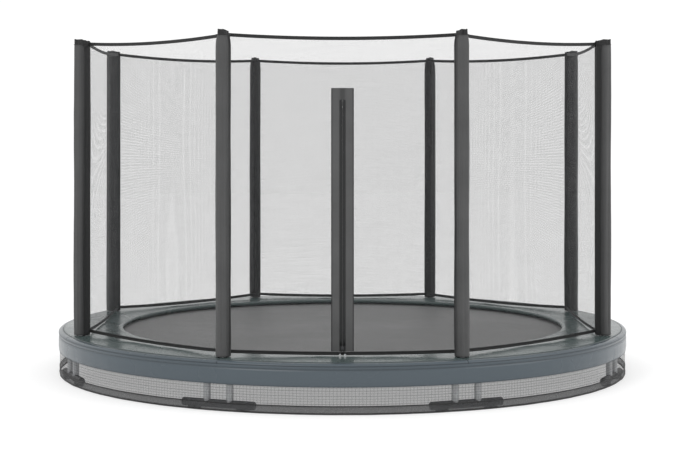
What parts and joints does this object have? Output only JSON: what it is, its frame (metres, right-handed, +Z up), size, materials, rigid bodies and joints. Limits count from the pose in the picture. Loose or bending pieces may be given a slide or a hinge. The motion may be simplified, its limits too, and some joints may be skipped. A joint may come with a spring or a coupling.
{
  "type": "in-ground trampoline with safety net",
  "caption": "Round low-frame trampoline with sprung mat, padded edge and mesh skirt, ringed by padded poles that hold a net with a zipped door.",
  "frame": {"origin": "on the ground at the centre of the round base", "axes": "+Z up, -Y towards the zipped door, +X to the right when facing the door from outside"},
  "size_m": [3.66, 3.66, 2.1],
  "materials": {
    "galvanised_steel": "hot-dip galvanised, dull",
    "zinc_fasteners": "zinc plated",
    "spring_steel": "bright zinc",
    "foot_plastic": "matt moulded",
    "black_plastic": "satin moulded",
    "black_rubber": "matt",
    "foam": "closed-cell foam",
    "sleeve_fabric": "coated polyester, soft folds",
    "black_webbing": "woven tape",
    "net_mesh": "fine knitted net",
    "zip_metal": "dark nickel",
    "chrome": "polished",
    "pad_vinyl": "glossy PVC sheet",
    "pad_backing": "woven sheet",
    "skirt_mesh": "open mesh",
    "skirt_hem": "doubled mesh, bound edge",
    "mat_fabric": "fine woven polypropylene"
  },
  "bodies": {
    "frame": {"rail_1": "galvanised_steel", "rail_2": "galvanised_steel", "rail_3": "galvanised_steel", "rail_4": "galvanised_steel", "rail_5": "galvanised_steel", "rail_6": "galvanised_steel", "rail_7": "galvanised_steel", "rail_8": "galvanised_steel", "leg_1": "galvanised_steel", "leg_2": "galvanised_steel", "leg_3": "galvanised_steel", "leg_4": "galvanised_steel", "leg_5": "galvanised_steel", "leg_6": "galvanised_steel", "leg_7": "galvanised_steel", "leg_8": "galvanised_steel", "pole_1": "galvanised_steel", "pole_2": "galvanised_steel", "pole_3": "galvanised_steel", "pole_4": "galvanised_steel", "pole_5": "galvanised_steel", "pole_6": "galvanised_steel", "pole_7": "galvanised_steel", "pole_8": "galvanised_steel", "rail_splices": "galvanised_steel", "splice_bolts": "zinc_fasteners", "leg_bolts": "zinc_fasteners", "foot_covers": "foot_plastic", "foot_pads": "black_rubber", "pole_brackets": "galvanised_steel", "u_bolts": "zinc_fasteners", "u_bolt_nuts": "zinc_fasteners", "pole_screws": "zinc_fasteners", "pole_foams": "foam", "pole_sleeves": "sleeve_fabric", "pole_caps": "black_plastic", "top_rings": "black_plastic", "top_band": "black_webbing", "bottom_band": "black_webbing", "safety_net": "net_mesh", "door_end_panels": "sleeve_fabric", "zip_ends": "black_webbing", "pad_cover": "pad_vinyl", "pad_foam": "foam", "pad_underside": "pad_backing", "skirt_mesh": "skirt_mesh", "skirt_hem": "skirt_hem", "springs": "spring_steel"},
    "mat": {"mat": "mat_fabric", "mat_webbing": "black_webbing", "v_rings": "spring_steel"},
    "slider": {"zip_slider": "zip_metal"},
    "left_tab": {"pull_tab_left": "chrome"},
    "right_tab": {"pull_tab_right": "chrome"},
    "left_flap": {"door_flap_left": "sleeve_fabric", "zip_tape_left": "black_webbing", "zip_coil_left": "black_plastic"},
    "right_flap": {"door_flap_right": "sleeve_fabric", "zip_tape_right": "black_webbing", "zip_coil_right": "black_plastic"}
  },
  "joints": [
    {"name": "mat_bounce", "type": "slide", "parent": "frame", "child": "mat", "axis": [0, 0, 1], "range_m": [-0.15, 0], "stiffness_N_per_m": 6000, "springref_m": 0.03, "deforming": ["springs"]},
    {"name": "zip_slide", "type": "slide", "parent": "frame", "child": "slider", "axis": [0, 0, 1], "range_m": [0, 1.36]},
    {"name": "pull_left", "type": "hinge", "parent": "slider", "child": "left_tab", "pos_m": [-0.0138, -1.56986, 0.3055], "axis": [-1, 0, 0], "range_deg": [0, 150]},
    {"name": "pull_right", "type": "hinge", "parent": "slider", "child": "right_tab", "pos_m": [0.0138, -1.56986, 0.3055], "axis": [-1, 0, 0], "range_deg": [0, 150]},
    {"name": "flap_left", "type": "hinge", "parent": "frame", "child": "left_flap", "pos_m": [-0.062, -1.56136, 1], "axis": [0, 0, -1], "range_deg": [0, 100], "stiffness_Nm_per_rad": 0.02},
    {"name": "flap_right", "type": "hinge", "parent": "frame", "child": "right_flap", "pos_m": [0.062, -1.56136, 1], "axis": [0, 0, 1], "range_deg": [0, 100], "stiffness_Nm_per_rad": 0.02}
  ]
}
